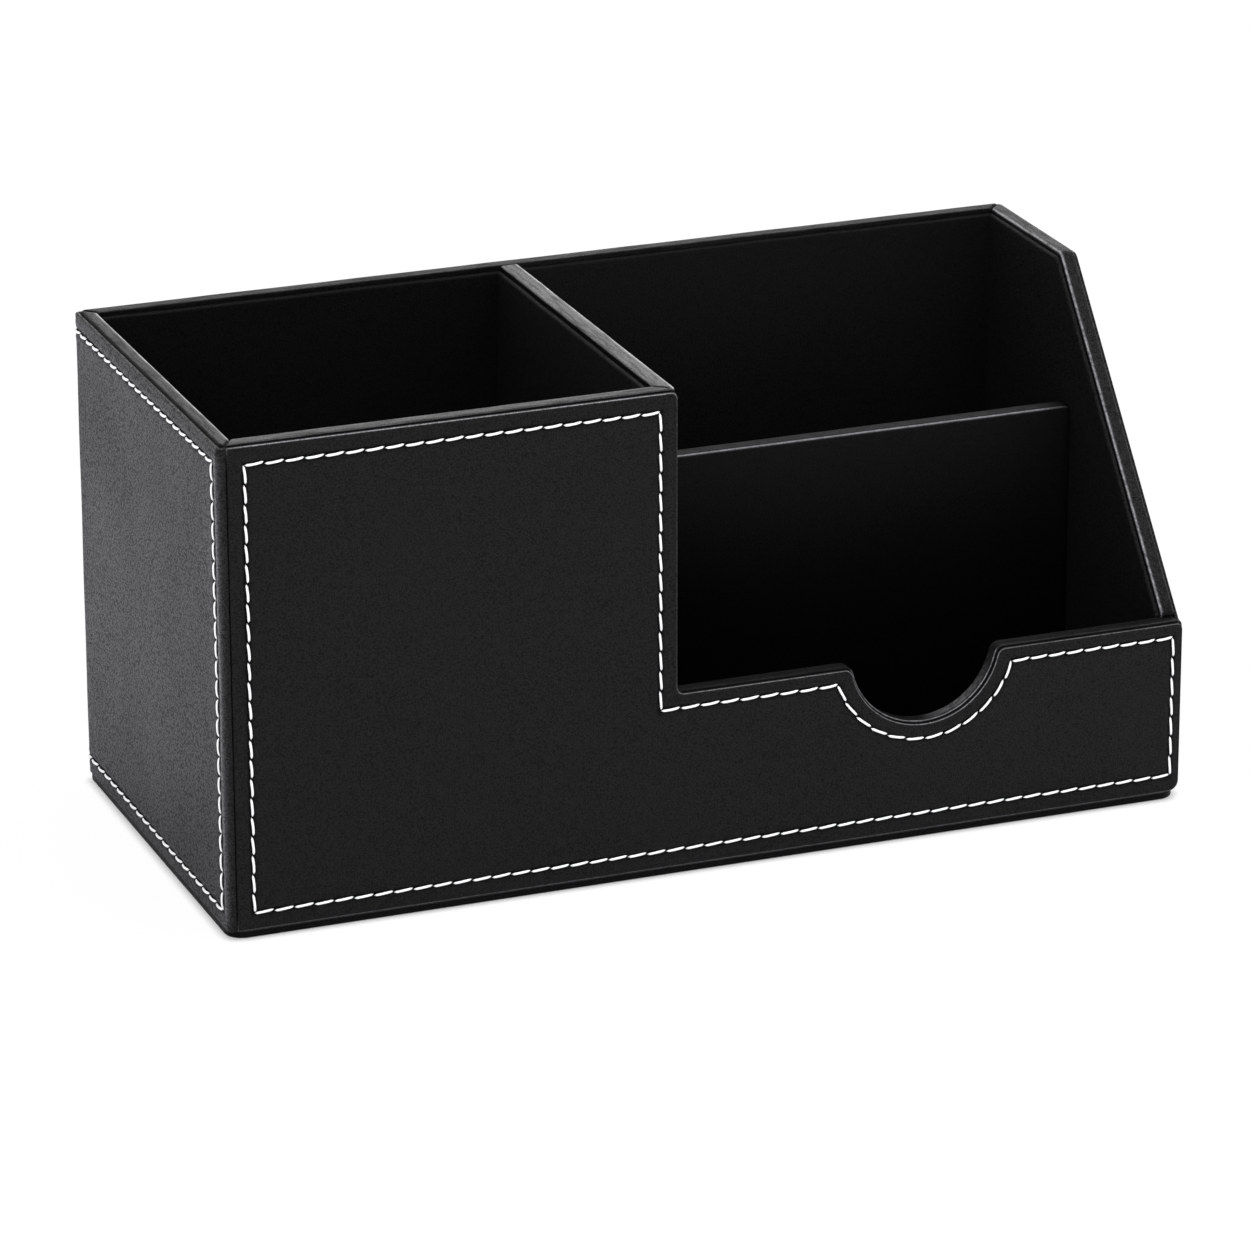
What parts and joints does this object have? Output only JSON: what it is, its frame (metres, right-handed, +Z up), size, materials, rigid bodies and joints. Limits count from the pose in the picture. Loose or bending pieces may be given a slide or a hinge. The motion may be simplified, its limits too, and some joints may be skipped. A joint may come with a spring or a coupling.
{
  "type": "desk organizer",
  "caption": "Black stitched leatherette desk organizer with a tall open pen box beside a letter slot and a low front tray with a round thumb notch.",
  "frame": {"origin": "under the middle of the object, on the surface that it stands on", "axes": "+X to the right, away from the pen box, +Y to the back, +Z up"},
  "size_m": [0.245, 0.1112, 0.1217],
  "materials": {
    "leather": "black grained leatherette, satin, stitched along its edges",
    "lining": "black matt lining sheet with fine grain",
    "board": "raw fibre board, hidden inside the leatherette",
    "floor_pad": "black matt napped floor pad",
    "felt": "black felt",
    "thread": "white sewing thread of the edge rows"
  },
  "bodies": {
    "root": {"front_panel": "leather", "side_skin": "leather", "front_wrap": "leather", "left_wrap": "leather", "back_wrap": "leather", "right_wrap": "leather", "pen_divider_wrap": "leather", "letter_divider_wrap": "leather", "base_plate": "leather", "pen_back_lining": "lining", "pen_left_lining": "lining", "pen_front_lining": "lining", "pen_divider_lining": "lining", "letter_back_lining": "lining", "tray_divider_lining": "lining", "right_lining": "lining", "lip_lining": "lining", "front_board": "board", "left_board": "board", "back_board": "board", "right_board": "board", "pen_divider_board": "board", "letter_divider_board": "board", "floor_board": "board", "pen_floor_pad": "floor_pad", "letter_floor_pad": "floor_pad", "tray_floor_pad": "floor_pad", "base_felt": "felt"}
  },
  "joints": []
}
